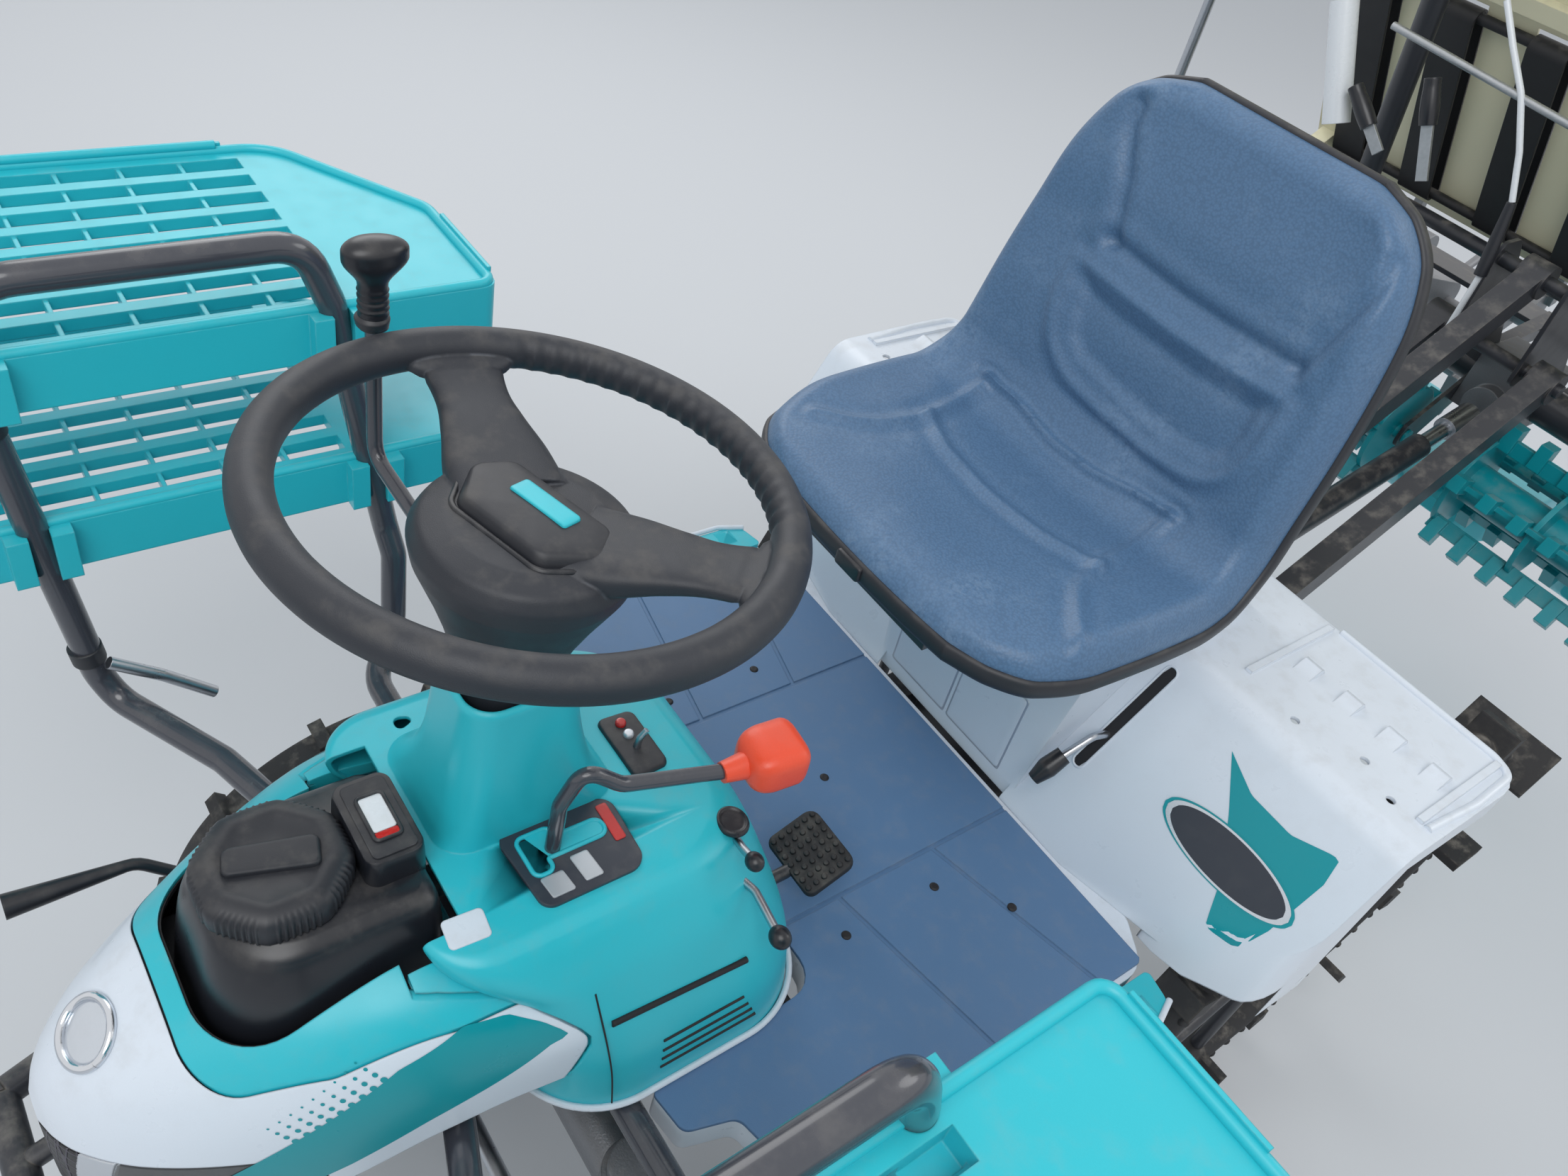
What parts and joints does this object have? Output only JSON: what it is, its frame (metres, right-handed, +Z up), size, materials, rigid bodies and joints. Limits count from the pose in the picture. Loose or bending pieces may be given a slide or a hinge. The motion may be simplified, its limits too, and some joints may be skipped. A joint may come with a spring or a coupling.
{
  "type": "riding rice transplanter",
  "caption": "Riding rice transplanter with side seedling racks, a tilting bonnet and seat, steered front wheels and a lifting planting section with sliding seedling platform.",
  "frame": {"origin": "on the ground under the middle of the machine's length and width", "axes": "+Z up, -Y towards the nose, +X towards the operator's left"},
  "size_m": [1.564, 2.6929, 1.7404],
  "materials": {
    "frame_paint": "satin dark grey",
    "casting": "as-cast",
    "engine": "matt",
    "white": "satin moulded",
    "teal": "satin moulded",
    "black_plastic": "textured",
    "lens": "clear",
    "mat": "matt",
    "seat": "grained vinyl",
    "tube_paint": "gloss",
    "zinc": "zinc plated",
    "tyre": "matt",
    "rotor": "satin moulded",
    "cream": "satin moulded",
    "belt": "studded"
  },
  "bodies": {
    "machine": {"chassis_frame": "frame_paint", "engine_block": "engine", "transmission_case": "casting", "front_axle_case": "casting", "rear_axle_case": "casting", "floor_pan": "white", "floor_mat": "mat", "side_steps": "teal", "rear_cover": "white", "dash_cover": "teal", "fuel_cowl": "black_plastic", "fuel_cap": "black_plastic", "steering_column": "black_plastic", "shift_lever": "tube_paint", "planting_lever": "tube_paint", "pedals": "black_plastic", "rack_frames": "tube_paint", "upper_trays": "teal", "lower_trays": "teal"},
    "hood": {"bonnet": "white", "bonnet_inlay": "teal", "nose_grille": "black_plastic", "headlamps": "lens"},
    "seat": {"seat_pan": "black_plastic", "seat_cushion": "seat"},
    "steering": {"steering_wheel": "black_plastic"},
    "pitman": {"pitman_arm": "frame_paint"},
    "tie": {"tie_rod": "zinc"},
    "knuckle_l": {"knuckle_left": "casting"},
    "knuckle_r": {"knuckle_right": "casting"},
    "front_wheel_l": {"front_rim_left": "white", "front_tyre_left": "tyre"},
    "front_wheel_r": {"front_rim_right": "white", "front_tyre_right": "tyre"},
    "rear_wheel_l": {"rear_rim_left": "frame_paint", "rear_tyre_left": "tyre"},
    "rear_wheel_r": {"rear_rim_right": "frame_paint", "rear_tyre_right": "tyre"},
    "links": {"lower_links": "frame_paint"},
    "top_link": {"upper_link": "frame_paint"},
    "cylinder": {"lift_cylinder": "frame_paint"},
    "piston": {"lift_rod": "zinc"},
    "shaft_outer": {"drive_tube": "frame_paint"},
    "shaft_inner": {"drive_rod": "zinc"},
    "planter": {"planting_frame": "frame_paint", "planting_cases": "casting", "floats": "teal"},
    "leveller": {"level_rotor_left": "rotor", "level_rotor_right": "rotor"},
    "claws_l": {"claw_rotor_left": "casting"},
    "claws_r": {"claw_rotor_right": "casting"},
    "platform": {"seedling_platform": "cream", "feed_belts": "belt"},
    "marker_l": {"marker_left": "zinc"},
    "marker_r": {"marker_right": "zinc"}
  },
  "joints": [
    {"name": "bonnet_hinge", "type": "hinge", "parent": "machine", "child": "hood", "pos_m": [0, -1.25847, 0.512], "axis": [1, 0, 0], "range_deg": [0, 60]},
    {"name": "seat_hinge", "type": "hinge", "parent": "machine", "child": "seat", "pos_m": [0, -0.53647, 0.914], "axis": [1, 0, 0], "range_deg": [0, 40]},
    {"name": "steering", "type": "hinge", "parent": "machine", "child": "steering", "pos_m": [0, -0.88947, 1.11], "axis": [0, 0.0872, 0.9962], "range_deg": [-450, 450]},
    {"name": "pitman_turn", "type": "hinge", "parent": "machine", "child": "pitman", "pos_m": [0, -0.86647, 0.402], "axis": [0, 0, 1], "range_deg": [-32, 32]},
    {"name": "tie_turn", "type": "hinge", "parent": "pitman", "child": "tie", "pos_m": [0, -0.95447, 0.402], "axis": [0, 0, 1], "range_deg": [-32, 32]},
    {"name": "kingpin_left", "type": "hinge", "parent": "machine", "child": "knuckle_l", "pos_m": [0.235, -0.86647, 0.262], "axis": [0, 0, 1], "range_deg": [-32, 32]},
    {"name": "kingpin_right", "type": "hinge", "parent": "machine", "child": "knuckle_r", "pos_m": [-0.235, -0.86647, 0.262], "axis": [0, 0, 1], "range_deg": [-32, 32]},
    {"name": "front_wheel_left", "type": "hinge", "parent": "knuckle_l", "child": "front_wheel_l", "pos_m": [0.32, -0.86647, 0.262], "axis": [1, 0, 0], "continuous": true},
    {"name": "front_wheel_right", "type": "hinge", "parent": "knuckle_r", "child": "front_wheel_r", "pos_m": [-0.32, -0.86647, 0.262], "axis": [1, 0, 0], "continuous": true},
    {"name": "rear_wheel_left", "type": "hinge", "parent": "machine", "child": "rear_wheel_l", "pos_m": [0.385, 0.05853, 0.384], "axis": [1, 0, 0], "continuous": true},
    {"name": "rear_wheel_right", "type": "hinge", "parent": "machine", "child": "rear_wheel_r", "pos_m": [-0.385, 0.05853, 0.384], "axis": [1, 0, 0], "continuous": true},
    {"name": "lift", "type": "hinge", "parent": "machine", "child": "links", "pos_m": [0, 0.08353, 0.61], "axis": [1, 0, 0], "range_deg": [-52, 0]},
    {"name": "top_link_turn", "type": "hinge", "parent": "machine", "child": "top_link", "pos_m": [0, 0.06353, 0.73], "axis": [1, 0, 0], "range_deg": [-52, 0]},
    {"name": "hitch_turn", "type": "hinge", "parent": "links", "child": "planter", "pos_m": [0, 0.62047, 0.92], "axis": [1, 0, 0], "range_deg": [0, 52]},
    {"name": "cylinder_turn", "type": "hinge", "parent": "machine", "child": "cylinder", "pos_m": [-0.141, 0.02353, 0.458], "axis": [1, 0, 0], "range_deg": [-32.35, 0]},
    {"name": "piston_slide", "type": "slide", "parent": "cylinder", "child": "piston", "axis": [0, 0.6965, 0.7175], "range_m": [-0.09124, 0]},
    {"name": "shaft_turn", "type": "hinge", "parent": "machine", "child": "shaft_outer", "pos_m": [0, 0.09753, 0.622], "axis": [1, 0, 0], "range_deg": [-43.4, 0]},
    {"name": "shaft_slide", "type": "slide", "parent": "shaft_outer", "child": "shaft_inner", "axis": [0, 0.9662, 0.2577], "range_m": [0, 0.10922]},
    {"name": "leveller_spin", "type": "hinge", "parent": "planter", "child": "leveller", "pos_m": [0, 0.67847, 0.71726], "axis": [1, 0, 0], "continuous": true},
    {"name": "claws_left_spin", "type": "hinge", "parent": "planter", "child": "claws_l", "pos_m": [0.3, 1.14347, 0.74726], "axis": [1, 0, 0], "continuous": true},
    {"name": "claws_right_spin", "type": "hinge", "parent": "planter", "child": "claws_r", "pos_m": [-0.3, 1.14347, 0.74726], "axis": [1, 0, 0], "continuous": true},
    {"name": "platform_slide", "type": "slide", "parent": "planter", "child": "platform", "axis": [1, 0, 0], "range_m": [-0.14, 0.14]},
    {"name": "marker_left_fold", "type": "hinge", "parent": "planter", "child": "marker_l", "pos_m": [0.762, 0.77347, 0.84226], "axis": [0, 1, 0], "range_deg": [0, 85]},
    {"name": "marker_right_fold", "type": "hinge", "parent": "planter", "child": "marker_r", "pos_m": [-0.762, 0.77347, 0.84226], "axis": [0, -1, 0], "range_deg": [0, 85]}
  ],
  "couplings": [
    {"joint": "pitman_turn", "follows": "steering", "ratio": 0.071104},
    {"joint": "tie_turn", "follows": "steering", "ratio": -0.071104},
    {"joint": "kingpin_left", "follows": "steering", "ratio": 0.071104},
    {"joint": "kingpin_right", "follows": "steering", "ratio": 0.071104},
    {"joint": "top_link_turn", "follows": "lift", "ratio": 1},
    {"joint": "hitch_turn", "follows": "lift", "ratio": -1},
    {"joint": "cylinder_turn", "follows": "lift", "ratio": 0.62122},
    {"joint": "piston_slide", "follows": "lift", "m_per_rad": 0.10031},
    {"joint": "shaft_turn", "follows": "lift", "ratio": 0.83361},
    {"joint": "shaft_slide", "follows": "lift", "m_per_rad": -0.12013}
  ]
}
